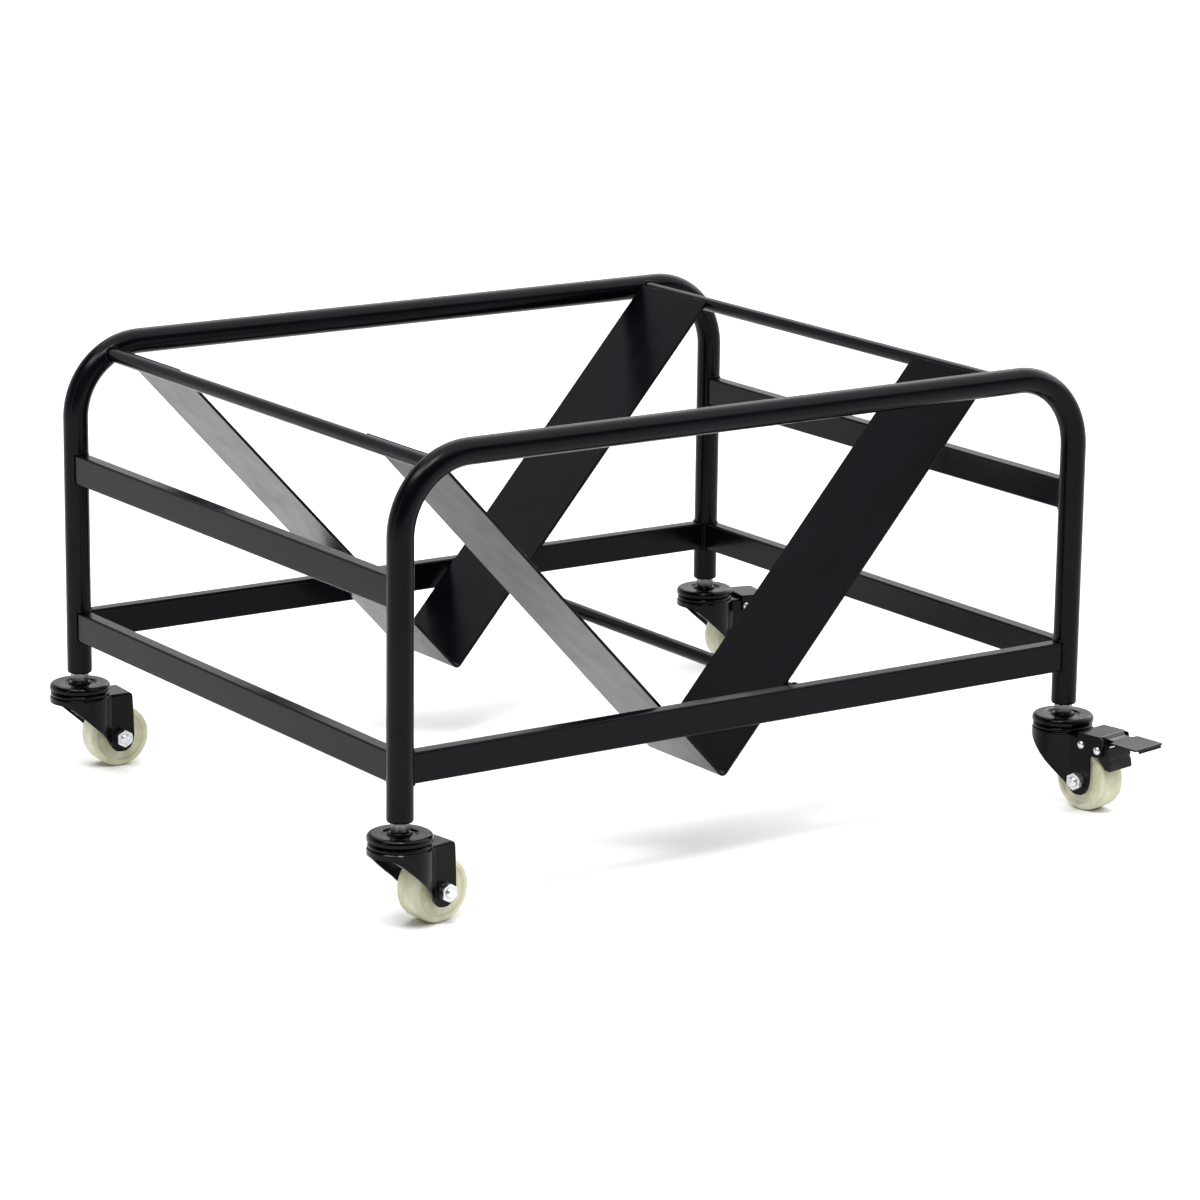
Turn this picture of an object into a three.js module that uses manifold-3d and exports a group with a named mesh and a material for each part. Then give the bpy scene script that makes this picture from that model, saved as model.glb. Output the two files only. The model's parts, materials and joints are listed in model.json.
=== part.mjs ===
// Drum dolly: a welded tube frame with two V-shaped cradle plates, on four swivel castors.
// Millimetres, +Z up. X runs along the two hoops, Y runs from the near hoop to the far hoop.
// Two of the castors, those on the right, carry a foot brake.

import * as THREE from 'three';
import { mergeVertices } from 'three/addons/utils/BufferGeometryUtils.js';
import Module from 'manifold-3d';

// ---------------------------------------------------------------- driving dimensions

const GAP = 0.3; // clearance between pieces that touch on the real object

// hoops of round tube
const HOOP_LENGTH = 784; // leg axis to leg axis, along X
const HOOP_SPACING = 623; // near hoop to far hoop, along Y
const HOOP_RISE = 337; // tube axis of the top run above the leg ends
const LEG_END_Z = 101.5; // leg ends above the floor
const TUBE_RADIUS = 12.7;
const TUBE_WALL = 1.5;
const BEND_RADIUS = 73; // tube axis, at both upper corners
const TUBE_SIDES = 16;
const BEND_STEPS = 7;

// rails of rectangular tube
const RAIL_HEIGHT = 30;
const RAIL_DEPTH = 15;
const RAIL_WALL = 1.5;
const LOWER_RAIL_RISE = 50; // rail centre above the leg ends
const MID_RAIL_RISE = 214;

// round cross rods, butted against the inner sides of the hoops
const ROD_RADIUS = 7;
const ROD_SIDES = 14;
const LEFT_ROD_INBOARD = 37; // from the left leg axes
const RIGHT_ROD_INBOARD = 91; // from the right leg axes
const BOTTOM_ROD_RISE = 57.4; // above the leg ends

// V cradles, bent from flat plate
const CRADLE_WIDTH = 120; // along Y
const CRADLE_THICKNESS = 3;
const CRADLE_FOLD_X = -19.2; // fold line, slightly left of the middle
const CRADLE_FOLD_DROP = 20.6; // sharp outer corner below the leg ends
const CRADLE_FOLD_RADIUS = 3; // inner radius of the fold
const CRADLE_OVERRUN = -2.5; // plate past its contact with each rod; negative stops short of it
const CRADLE_EDGE_GAP = 0.5; // plate edge to hoop tube

// castors
const TRAIL = 38; // swivel axis to axle
const WHEEL_RADIUS = 31.75;
const WHEEL_WIDTH = 30;
const RACE_RADIUS = 31;
const CROWN_TOP = 78; // heights above the floor
const CROWN_THICKNESS = 2.5;
const SKIRT_BOTTOM = 71.5;
const LOWER_RACE_TOP = 82.8;
const UPPER_RACE_BOTTOM = 83.2;
const UPPER_RACE_TOP = 91;
const CHEEK_INNER = 16.2; // half distances along the axle
const CHEEK_OUTER = 18.7;
const TAB_END = 50; // rear end of the fork's flat shoulder
const AXLE_RADIUS = 5;
const NUT_FLATS = 16;
const NUT_THICKNESS = 8;
const HEAD_THICKNESS = 6.4;
const STEM_RADIUS = 5;
const STEM_NUT_FLATS = 16;
const STEM_TOP = 128;

// foot brakes
const PIVOT = [42, 70]; // along the trail, above the floor
const BLOCK_PIN = [62.7, 68];
const PIN_RADIUS = 2.4;
const BRAKE_GAP = 4.5; // block to tread when the brake is off
const FLANGE_INNER = 19.2;
const FLANGE_OUTER = 21.2;
const BLOCK_HALF_WIDTH = 17.5;

const CORNERS = [
  { name: 'near_left', x: -1, y: -1, swivel: 7, brake: false },
  { name: 'near_right', x: 1, y: -1, swivel: -80, brake: true },
  { name: 'far_left', x: -1, y: 1, swivel: -4, brake: false },
  { name: 'far_right', x: 1, y: 1, swivel: -12, brake: true },
];

// ---------------------------------------------------------------- derived places

const LEG_X = HOOP_LENGTH / 2;
const HOOP_Y = HOOP_SPACING / 2;
const TOP_Z = LEG_END_Z + HOOP_RISE;
const LOWER_RAIL_Z = LEG_END_Z + LOWER_RAIL_RISE;
const MID_RAIL_Z = LEG_END_Z + MID_RAIL_RISE;
const CUT_RADIUS = TUBE_RADIUS + GAP;
const LEFT_ROD = { x: -LEG_X + LEFT_ROD_INBOARD, z: hoopHeight(LEFT_ROD_INBOARD) };
const RIGHT_ROD = { x: LEG_X - RIGHT_ROD_INBOARD, z: hoopHeight(RIGHT_ROD_INBOARD) };
const FOLD = { x: CRADLE_FOLD_X, z: LEG_END_Z - CRADLE_FOLD_DROP };
const LEFT_SLOPE = armSlope(LEFT_ROD);
const RIGHT_SLOPE = armSlope(RIGHT_ROD);

/** Height of the hoop's tube axis at a distance inboard of a leg. */
function hoopHeight(inboard) {
  if (inboard >= BEND_RADIUS) {
    return TOP_Z;
  }
  const along = BEND_RADIUS - inboard;
  return TOP_Z - BEND_RADIUS + Math.sqrt(BEND_RADIUS ** 2 - along ** 2);
}

/** Angle above horizontal of a cradle arm whose outer face rests on a rod. */
function armSlope(rod) {
  const run = Math.abs(rod.x - FOLD.x);
  const rise = rod.z - FOLD.z;
  return Math.atan2(rise, run) + Math.asin((ROD_RADIUS + GAP) / Math.hypot(run, rise));
}

// ---------------------------------------------------------------- materials

const FINISHES = {
  powder_coat: { color: 0x17171a, roughness: 0.42, metalness: 0.0 },
  race_black: { color: 0x121214, roughness: 0.3, metalness: 0.2 },
  zinc: { color: 0xc4c6c8, roughness: 0.32, metalness: 0.9 },
  nylon: { color: 0xd9d8c2, roughness: 0.4, metalness: 0.0 },
  plastic: { color: 0x1b1b1c, roughness: 0.6, metalness: 0.0 },
};

const group = new THREE.Group();

/** Adds one named sub-part to a group. */
function addPart(parent, name, geometry, finish) {
  const mesh = new THREE.Mesh(geometry, new THREE.MeshStandardMaterial(FINISHES[finish]));
  mesh.name = name;
  parent.add(mesh);
}

// ---------------------------------------------------------------- solids

const wasm = await Module();
wasm.setup();

/** Turns a closed three.js geometry into a manifold solid. */
function solid(geometry) {
  const bare = geometry.clone();
  bare.deleteAttribute('normal');
  bare.deleteAttribute('uv');
  const merged = mergeVertices(bare, 1e-4);
  return new wasm.Manifold(new wasm.Mesh({
    numProp: 3,
    vertProperties: new Float32Array(merged.attributes.position.array),
    triVerts: new Uint32Array(merged.index.array),
  }));
}

/** Turns a manifold solid back into a three.js geometry. */
function geometryOf(manifold) {
  const mesh = manifold.getMesh();
  const geometry = new THREE.BufferGeometry();
  geometry.setAttribute('position', new THREE.BufferAttribute(new Float32Array(mesh.vertProperties), 3));
  geometry.setIndex(new THREE.BufferAttribute(new Uint32Array(mesh.triVerts), 1));
  geometry.computeVertexNormals();
  return geometry;
}

/** A box from its lowest to its highest corner. */
function box(low, high) {
  const size = high.map((value, axis) => value - low[axis]);
  const middle = high.map((value, axis) => (value + low[axis]) / 2);
  return new THREE.BoxGeometry(...size).translate(...middle);
}

/** A round bar along Z, from bottom to top. */
function barZ(radius, bottom, top, sides = 20) {
  const bar = new THREE.CylinderGeometry(radius, radius, top - bottom, sides);
  return bar.rotateX(Math.PI / 2).translate(0, 0, (top + bottom) / 2);
}

/** A round bar along Y, from low to high, its axis through (x, z). */
function barY(radius, x, z, low, high, sides = 20) {
  return new THREE.CylinderGeometry(radius, radius, high - low, sides).translate(x, (low + high) / 2, z);
}

/** A ring or disc turned about Z from a closed outline of [radius, height] points. */
function turnedZ(outline, sides) {
  const points = outline.map(([radius, height]) => new THREE.Vector2(radius, height));
  points.push(points[0].clone());
  return new THREE.LatheGeometry(points, sides).rotateX(Math.PI / 2);
}

/** A ring or disc turned about Y from a closed outline of [radius, place along Y] points. */
function turnedY(outline, sides) {
  const points = outline.map(([radius, along]) => new THREE.Vector2(radius, along));
  points.push(points[0].clone());
  return new THREE.LatheGeometry(points, sides);
}

/** An outline of [x, z] points pushed along Y, from low to high. */
function pushedY(outline, low, high) {
  const shape = new THREE.Shape(outline.map(([x, z]) => new THREE.Vector2(x, z)));
  const slab = new THREE.ExtrudeGeometry(shape, { depth: high - low, bevelEnabled: false });
  return slab.rotateX(Math.PI / 2).translate(0, high, 0);
}

/** A hexagonal bar along Z with a round hole. */
function hexNut(flats, thickness, holeRadius) {
  const hex = new THREE.Shape();
  const corner = flats / Math.sqrt(3);
  for (let i = 0; i < 6; i += 1) {
    const angle = (i * Math.PI) / 3;
    hex[i === 0 ? 'moveTo' : 'lineTo'](corner * Math.cos(angle), corner * Math.sin(angle));
  }
  hex.closePath();
  if (holeRadius > 0) {
    hex.holes.push(new THREE.Path().absarc(0, 0, holeRadius, 0, 2 * Math.PI, true));
  }
  return new THREE.ExtrudeGeometry(hex, { depth: thickness, bevelEnabled: false, curveSegments: 8 });
}

// ---------------------------------------------------------------- hoops

/** A path with its own stations, so that straights take one step and bends take several. */
class StationPath extends THREE.Curve {
  constructor(stations) {
    super();
    this.stations = stations;
  }

  station(u) {
    return this.stations[Math.round(u * (this.stations.length - 1))];
  }

  getPointAt(u, target = new THREE.Vector3()) {
    return target.copy(this.station(u).point);
  }

  getTangentAt(u, target = new THREE.Vector3()) {
    return target.copy(this.station(u).tangent);
  }
}

/** Stations of a hoop: up the left leg, over the top and down the right leg. */
function hoopStations(y, endZ) {
  const stations = [];
  const stop = (x, z, angle) => {
    const tangent = new THREE.Vector3(Math.cos(angle), 0, Math.sin(angle));
    stations.push({ point: new THREE.Vector3(x, y, z), tangent });
  };
  const centreX = LEG_X - BEND_RADIUS;
  const centreZ = TOP_Z - BEND_RADIUS;
  stop(-LEG_X, endZ, Math.PI / 2);
  for (const side of [-1, 1]) {
    for (let i = 0; i <= BEND_STEPS; i += 1) {
      const turned = ((i / BEND_STEPS) * Math.PI) / 2;
      const heading = side < 0 ? Math.PI / 2 - turned : -turned;
      const x = side * centreX - BEND_RADIUS * Math.sin(heading);
      const z = centreZ + BEND_RADIUS * Math.cos(heading);
      stop(x, z, heading);
    }
  }
  stop(LEG_X, endZ, -Math.PI / 2);
  return stations;
}

/** Tube or bar swept along a hoop's path. A wall of 0 gives a solid bar. */
function hoopSweep(y, radius, wall, endZ) {
  const section = new THREE.Shape(ringPoints(radius, TUBE_SIDES));
  if (wall > 0) {
    section.holes.push(new THREE.Path(ringPoints(radius - wall, TUBE_SIDES).reverse()));
  }
  const stations = hoopStations(y, endZ);
  return new THREE.ExtrudeGeometry(section, {
    steps: stations.length - 1,
    extrudePath: new StationPath(stations),
    bevelEnabled: false,
  });
}

/** Corners of a regular polygon. */
function ringPoints(radius, sides) {
  const points = [];
  for (let i = 0; i < sides; i += 1) {
    const angle = (2 * Math.PI * i) / sides;
    points.push(new THREE.Vector2(radius * Math.cos(angle), radius * Math.sin(angle)));
  }
  return points;
}

const INSERT_LIP = 3.2; // visible rim of a leg's threaded bush, below the tube
const hoopCutters = [-1, 1].map((side) => solid(hoopSweep(side * HOOP_Y, CUT_RADIUS, 0, LEG_END_Z)));

/** Removes from a piece the room that both hoops take up. */
function clearOfHoops(manifold) {
  return hoopCutters.reduce((rest, cutter) => rest.subtract(cutter), manifold);
}

for (const [name, side] of [['near_hoop', -1], ['far_hoop', 1]]) {
  const tube = hoopSweep(side * HOOP_Y, TUBE_RADIUS, TUBE_WALL, LEG_END_Z + INSERT_LIP + GAP);
  addPart(group, name, geometryOf(solid(tube)), 'powder_coat');
}

// ---------------------------------------------------------------- rails and rods

/** Rectangular tube along an axis ('x' or 'y'), with its ends coped to the legs. */
function rail(axis, place, height) {
  const length = axis === 'x' ? LEG_X - TUBE_RADIUS / 2 : HOOP_Y - TUBE_RADIUS / 2;
  const bar = (shrink, reach) => {
    const half = [RAIL_DEPTH / 2 - shrink, RAIL_HEIGHT / 2 - shrink];
    const low = axis === 'x' ? [-reach, place - half[0]] : [place - half[0], -reach];
    const high = axis === 'x' ? [reach, place + half[0]] : [place + half[0], reach];
    return solid(box([...low, height - half[1]], [...high, height + half[1]]));
  };
  const hollow = bar(0, length).subtract(bar(RAIL_WALL, length + 1));
  return geometryOf(clearOfHoops(hollow));
}

addPart(group, 'near_lower_rail', rail('x', -HOOP_Y, LOWER_RAIL_Z), 'powder_coat');
addPart(group, 'far_lower_rail', rail('x', HOOP_Y, LOWER_RAIL_Z), 'powder_coat');
for (const [name, side] of [['left', -1], ['right', 1]]) {
  addPart(group, `${name}_lower_rail`, rail('y', side * LEG_X, LOWER_RAIL_Z), 'powder_coat');
  addPart(group, `${name}_mid_rail`, rail('y', side * LEG_X, MID_RAIL_Z), 'powder_coat');
}

for (const [name, rod] of [['left_top_rod', LEFT_ROD], ['right_top_rod', RIGHT_ROD]]) {
  const bar = solid(barY(ROD_RADIUS, rod.x, rod.z, -HOOP_Y, HOOP_Y, ROD_SIDES));
  addPart(group, name, geometryOf(clearOfHoops(bar)), 'powder_coat');
}

// The bottom rod lies against the right cradle arms and ends on the lower rails.
const BOTTOM_ROD_Z = LEG_END_Z + BOTTOM_ROD_RISE;
const BOTTOM_ROD_X = FOLD.x
  + (BOTTOM_ROD_Z - FOLD.z) / Math.tan(RIGHT_SLOPE)
  + (ROD_RADIUS + GAP) / Math.sin(RIGHT_SLOPE);
const bottomRodReach = HOOP_Y - RAIL_DEPTH / 2 - GAP;
const bottomRod = barY(ROD_RADIUS, BOTTOM_ROD_X, BOTTOM_ROD_Z, -bottomRodReach, bottomRodReach, ROD_SIDES);
addPart(group, 'bottom_rod', bottomRod, 'powder_coat');

// ---------------------------------------------------------------- V cradles

/** Point on a cradle arm: side -1 or 1, distance up the outer face, distance inwards from it. */
function armPoint(side, along, inwards) {
  const slope = side < 0 ? LEFT_SLOPE : RIGHT_SLOPE;
  const x = FOLD.x + side * (along * Math.cos(slope) - inwards * Math.sin(slope));
  return [x, FOLD.z + along * Math.sin(slope) + inwards * Math.cos(slope)];
}

/** Length of a cradle arm's outer face, from the sharp fold corner to its free end. */
function armLength(rod) {
  const contact = Math.hypot(rod.x - FOLD.x, rod.z - FOLD.z);
  return Math.sqrt(contact ** 2 - (ROD_RADIUS + GAP) ** 2) + CRADLE_OVERRUN;
}

/** Points of the rounded fold, at a distance inwards from the outer faces. */
function foldPoints(inwards, steps) {
  const radius = CRADLE_FOLD_RADIUS + CRADLE_THICKNESS - inwards;
  const halfAngle = (Math.PI - LEFT_SLOPE - RIGHT_SLOPE) / 2;
  const lean = (LEFT_SLOPE - RIGHT_SLOPE) / 2;
  const centreRise = (CRADLE_FOLD_RADIUS + CRADLE_THICKNESS) / Math.sin(halfAngle);
  const points = [];
  for (let i = 0; i <= steps; i += 1) {
    const angle = -Math.PI / 2 - LEFT_SLOPE + (i / steps) * (LEFT_SLOPE + RIGHT_SLOPE);
    const x = FOLD.x + centreRise * Math.sin(lean) + radius * Math.cos(angle);
    points.push([x, FOLD.z + centreRise * Math.cos(lean) + radius * Math.sin(angle)]);
  }
  return points;
}

/** Cross-section of a cradle, the same for both. */
function cradleOutline() {
  const leftLength = armLength(LEFT_ROD);
  const rightLength = armLength(RIGHT_ROD);
  return [
    armPoint(-1, leftLength, 0),
    ...foldPoints(0, 4),
    armPoint(1, rightLength, 0),
    armPoint(1, rightLength, CRADLE_THICKNESS),
    ...foldPoints(CRADLE_THICKNESS, 4).reverse(),
    armPoint(-1, leftLength, CRADLE_THICKNESS),
  ];
}

const cradleEdge = HOOP_Y - TUBE_RADIUS - CRADLE_EDGE_GAP;
addPart(group, 'near_cradle', pushedY(cradleOutline(), -cradleEdge, -cradleEdge + CRADLE_WIDTH), 'powder_coat');
addPart(group, 'far_cradle', pushedY(cradleOutline(), cradleEdge - CRADLE_WIDTH, cradleEdge), 'powder_coat');

// ---------------------------------------------------------------- castor pieces

/** Threaded bush in a leg end: a tapered rim below the tube and a plug inside it. */
function legInsert() {
  const plug = TUBE_RADIUS - TUBE_WALL - GAP;
  const rim = LEG_END_Z + INSERT_LIP;
  return turnedZ([
    [STEM_RADIUS + GAP, LEG_END_Z],
    [TUBE_RADIUS - 2.2, LEG_END_Z],
    [TUBE_RADIUS, LEG_END_Z + 2],
    [TUBE_RADIUS, rim],
    [plug, rim],
    [plug, rim + 24],
    [STEM_RADIUS + GAP, rim + 24],
  ], 16);
}

/** Stem: kingpin with a riveted lower end, threaded where it enters the insert. */
function stem() {
  return turnedZ([
    [0, SKIRT_BOTTOM - 3],
    [7, SKIRT_BOTTOM - 3],
    [9, SKIRT_BOTTOM],
    [9, CROWN_TOP - CROWN_THICKNESS - GAP],
    [STEM_RADIUS, CROWN_TOP - CROWN_THICKNESS - GAP],
    [STEM_RADIUS, STEM_TOP - 1.5],
    [STEM_RADIUS - 1.5, STEM_TOP],
    [0, STEM_TOP],
  ], 14);
}

/** Upper race: a pressed dome with a sunk ring round the stem nut. */
function upperRace() {
  const bore = STEM_RADIUS + GAP;
  return turnedZ([
    [bore, UPPER_RACE_BOTTOM],
    [RACE_RADIUS, UPPER_RACE_BOTTOM],
    [RACE_RADIUS, UPPER_RACE_TOP - 4],
    [RACE_RADIUS - 2, UPPER_RACE_TOP - 1.4],
    [RACE_RADIUS - 6, UPPER_RACE_TOP],
    [16.5, UPPER_RACE_TOP],
    [14.5, UPPER_RACE_TOP - 2.4],
    [11.5, UPPER_RACE_TOP - 2.4],
    [bore, UPPER_RACE_TOP + 1],
  ], 26);
}

/** Lower race: a ring pressed onto the fork crown. */
function lowerRace() {
  const bottom = CROWN_TOP + GAP;
  return turnedZ([
    [12, bottom],
    [RACE_RADIUS - 2, bottom],
    [RACE_RADIUS - 0.8, bottom + 1.6],
    [RACE_RADIUS - 2.6, LOWER_RACE_TOP],
    [12, LOWER_RACE_TOP],
  ], 26);
}

/** Side outline of a fork: round crown to the left, boss round the axle at the lower right. */
const FORK_OUTLINE = [
  [-RACE_RADIUS - 1, CROWN_TOP + 1],
  [-RACE_RADIUS - 1, SKIRT_BOTTOM],
  [-24, SKIRT_BOTTOM],
  [-20, 69],
  [-7, 57.7],
  [11.8, 40.7],
  [20, 31.5],
  [27, 21.5],
  [31, 17.6],
  [36, 16.6],
  [42, 16.9],
  [47, 20],
  [50.3, 25.5],
  [51.6, 33],
  [TAB_END + 0.8, 60],
  [TAB_END, CROWN_TOP + 1],
];

/** Plan of a fork as a block: a disc with a parallel-sided tail behind it. */
function forkPlan(radius, halfWidth, end, bottom, top) {
  const tail = solid(box([0, -halfWidth, bottom], [end, halfWidth, top]));
  return solid(barZ(radius, bottom, top, 32)).add(tail);
}

/** Fork: a crown plate with a wall along its rim, which runs back as two flat cheeks. */
function fork(brake) {
  const plate = CROWN_TOP - CROWN_THICKNESS;
  const outer = forkPlan(RACE_RADIUS, CHEEK_OUTER, TAB_END + 8, 10, CROWN_TOP);
  const inner = forkPlan(RACE_RADIUS - CROWN_THICKNESS, CHEEK_INNER, TAB_END + 10, 5, plate);
  let body = outer.subtract(inner).intersect(solid(pushedY(FORK_OUTLINE, -40, 40)));
  body = body.subtract(solid(barZ(STEM_RADIUS + GAP, plate - 1, CROWN_TOP + 1, 16)));
  body = body.subtract(solid(barY(AXLE_RADIUS + GAP, TRAIL, WHEEL_RADIUS, -20, 20, 16)));
  if (brake) {
    body = body.subtract(solid(barY(PIN_RADIUS + GAP, PIVOT[0], PIVOT[1], -20, 20, 12)));
  }
  return geometryOf(body);
}

/** Wheel: a solid roller with rounded tread edges and slightly sunk side faces. */
function wheel() {
  const half = WHEEL_WIDTH / 2;
  const bore = AXLE_RADIUS + 0.5;
  const side = [
    [bore, half],
    [12, half],
    [13, half - 1.4],
    [WHEEL_RADIUS - 6.5, half - 1.4],
    [WHEEL_RADIUS - 5.5, half - 0.2],
    [WHEEL_RADIUS - 2.4, half - 0.3],
    [WHEEL_RADIUS - 0.8, half - 1.2],
    [WHEEL_RADIUS, half - 3],
  ];
  const mirrored = side.map(([radius, along]) => [radius, -along]);
  return turnedY([...mirrored, ...side.reverse()], 30).translate(TRAIL, 0, WHEEL_RADIUS);
}

/** Axle bolt: hexagonal head on one cheek, shank through the wheel, threaded end past the nut. */
function axleBolt() {
  const seat = CHEEK_OUTER + GAP;
  const head = hexNut(NUT_FLATS, HEAD_THICKNESS, 0).rotateX(-Math.PI / 2).translate(0, seat, 0);
  const shank = barY(AXLE_RADIUS, 0, 0, -CHEEK_OUTER - NUT_THICKNESS - 3.2, seat + 1, 16);
  return geometryOf(solid(head).add(solid(shank))).translate(TRAIL, 0, WHEEL_RADIUS);
}

/** Axle nut, on the other cheek. */
function axleNut() {
  const nut = hexNut(NUT_FLATS, NUT_THICKNESS, AXLE_RADIUS + GAP).rotateX(Math.PI / 2);
  return nut.translate(TRAIL, -CHEEK_OUTER - GAP, WHEEL_RADIUS);
}

/** Hexagonal nut that clamps the stem against the leg insert. */
function stemNut() {
  const bottom = UPPER_RACE_TOP + 1 + GAP;
  return hexNut(STEM_NUT_FLATS, LEG_END_Z - GAP - bottom, STEM_RADIUS + GAP).translate(0, 0, bottom);
}

// ---------------------------------------------------------------- brake pieces

/** Foot pedal: base between two flanges, narrower neck, wide pad with a turned-down lip. */
function pedal() {
  const top = 82.3;
  const sheet = 2;
  const base = box([36, -FLANGE_OUTER, top - sheet], [66, FLANGE_OUTER, top]);
  const neckTop = [[64, top], [66, top], [71, 79.7], [82, 79.4]];
  const neck = [...neckTop, [82, 77.4], [70.2, 77.7], [65.4, top - sheet], [64, top - sheet]];
  const pad = [[79, 77.5], [79, 79.5], [112, 78.6], [112, 76.6]];
  const lip = [[110, 76.7], [110, 78.6], [112, 78.6], [113.6, 77.6], [113.6, 74.4], [112, 74.4], [112, 76.6]];
  const flange = [[37, 64], [40, 60.5], [66, 60.5], [69, 64], [69.5, 76], [69.5, top], [37, top]];
  let body = solid(base).add(solid(pushedY(neck, -13, 13)));
  body = body.add(solid(pushedY(pad, -21.2, 21.2))).add(solid(pushedY(lip, -17, 17)));
  for (const [low, high] of [[-FLANGE_OUTER, -FLANGE_INNER], [FLANGE_INNER, FLANGE_OUTER]]) {
    body = body.add(solid(pushedY(flange, low, high)));
  }
  for (const [x, z] of [PIVOT, BLOCK_PIN]) {
    body = body.subtract(solid(barY(PIN_RADIUS + GAP, x, z, -25, 25, 12)));
  }
  return geometryOf(body);
}

/** Brake block: its front face follows the tread, a little away from it. */
function brakeBlock() {
  const radius = WHEEL_RADIUS + BRAKE_GAP;
  const outline = [];
  for (let i = 0; i <= 5; i += 1) {
    const angle = THREE.MathUtils.degToRad(62 - 34 * (i / 5));
    outline.push([TRAIL + radius * Math.cos(angle), WHEEL_RADIUS + radius * Math.sin(angle)]);
  }
  outline.push([76.5, 47.5], [77, 50], [72.5, 71.3], [56, 71.3]);
  const block = solid(pushedY(outline, -BLOCK_HALF_WIDTH, BLOCK_HALF_WIDTH));
  return geometryOf(block.subtract(solid(barY(PIN_RADIUS + GAP, ...BLOCK_PIN, -20, 20, 12))));
}

/** Headed pin along Y, through both cheeks or both flanges. */
function pin([x, z]) {
  const seat = FLANGE_OUTER + GAP;
  const head = 4.2;
  return turnedY([
    [0, -seat - 2.4],
    [head - 1.6, -seat - 2.4],
    [head, -seat - 0.8],
    [head, -seat],
    [PIN_RADIUS, -seat],
    [PIN_RADIUS, seat],
    [head, seat],
    [head, seat + 0.8],
    [head - 1.6, seat + 2.4],
    [0, seat + 2.4],
  ], 12).translate(x, 0, z);
}

/** Leaf spring: a bent steel strip on top of the block, its front end under the pedal. */
function brakeSpring() {
  return pushedY([
    [53, 78.8],
    [57, 72.6],
    [58.5, 71.7],
    [73.5, 71.7],
    [73.5, 72.9],
    [59, 72.9],
    [57.8, 73.8],
    [54.1, 79.3],
  ], -14, 14);
}

// ---------------------------------------------------------------- castors

for (const corner of CORNERS) {
  const fixed = new THREE.Group();
  fixed.position.set(corner.x * LEG_X, corner.y * HOOP_Y, 0);
  const swivel = new THREE.Group();
  swivel.rotation.z = THREE.MathUtils.degToRad(corner.swivel);
  fixed.add(swivel);
  group.add(fixed);
  addPart(fixed, `leg_insert_${corner.name}`, legInsert(), 'powder_coat');
  addPart(fixed, `stem_${corner.name}`, stem(), 'zinc');
  addPart(fixed, `stem_nut_${corner.name}`, stemNut(), 'zinc');
  addPart(fixed, `upper_race_${corner.name}`, upperRace(), 'race_black');
  addPart(swivel, `lower_race_${corner.name}`, lowerRace(), 'race_black');
  addPart(swivel, `fork_${corner.name}`, fork(corner.brake), 'race_black');
  addPart(swivel, `wheel_${corner.name}`, wheel(), 'nylon');
  addPart(swivel, `axle_bolt_${corner.name}`, axleBolt(), 'zinc');
  addPart(swivel, `axle_nut_${corner.name}`, axleNut(), 'zinc');
  if (corner.brake) {
    addPart(swivel, `pedal_${corner.name}`, pedal(), 'race_black');
    addPart(swivel, `brake_block_${corner.name}`, brakeBlock(), 'plastic');
    addPart(swivel, `brake_spring_${corner.name}`, brakeSpring(), 'zinc');
    addPart(swivel, `pivot_pin_${corner.name}`, pin(PIVOT), 'zinc');
    addPart(swivel, `block_pin_${corner.name}`, pin(BLOCK_PIN), 'zinc');
  }
}

// The origin is the bottom centre of the whole object's box.
const extent = new THREE.Box3().setFromObject(group, true);
const middle = extent.getCenter(new THREE.Vector3());
group.position.set(-middle.x, -middle.y, -extent.min.z);

export default group;
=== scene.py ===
"""Looks of the drum dolly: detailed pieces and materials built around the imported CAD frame."""

import json
import math

import bmesh
import bpy
from mathutils import Matrix, Vector

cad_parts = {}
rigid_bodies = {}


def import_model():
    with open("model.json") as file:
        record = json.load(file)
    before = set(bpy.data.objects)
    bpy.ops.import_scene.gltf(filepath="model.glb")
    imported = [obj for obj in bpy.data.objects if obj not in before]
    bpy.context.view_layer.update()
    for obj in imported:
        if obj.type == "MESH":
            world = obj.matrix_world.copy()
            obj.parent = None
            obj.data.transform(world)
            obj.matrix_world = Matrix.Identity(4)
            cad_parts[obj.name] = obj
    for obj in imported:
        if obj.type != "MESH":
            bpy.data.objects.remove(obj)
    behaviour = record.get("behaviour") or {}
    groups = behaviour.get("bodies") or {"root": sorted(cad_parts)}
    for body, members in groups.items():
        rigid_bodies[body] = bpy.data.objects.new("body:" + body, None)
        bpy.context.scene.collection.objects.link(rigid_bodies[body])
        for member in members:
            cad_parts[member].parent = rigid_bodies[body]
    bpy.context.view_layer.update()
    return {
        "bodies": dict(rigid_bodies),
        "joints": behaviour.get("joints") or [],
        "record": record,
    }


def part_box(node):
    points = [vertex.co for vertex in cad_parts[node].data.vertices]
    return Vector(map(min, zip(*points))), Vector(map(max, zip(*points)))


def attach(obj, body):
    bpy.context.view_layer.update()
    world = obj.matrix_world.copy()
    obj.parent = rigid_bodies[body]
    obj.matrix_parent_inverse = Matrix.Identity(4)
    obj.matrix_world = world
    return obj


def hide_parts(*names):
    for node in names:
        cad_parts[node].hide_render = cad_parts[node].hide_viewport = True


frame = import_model()

MM = 0.001

# ------------------------------------------------------------------ named sizes, in metres

BEND = 73 * MM  # hoop bend radius, on the tube axis
RAIL_CORNER = 2.2 * MM
WELD = 1.25 * MM  # radius of the beads round rails and rods
PLATE = 3 * MM  # cradle plate
FOLD_RADIUS = 3 * MM  # inner radius of a cradle's fold
SHEET = 2.5 * MM  # fork plate
GAP = 0.3 * MM  # clear distance between neighbouring castor pieces

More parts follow.
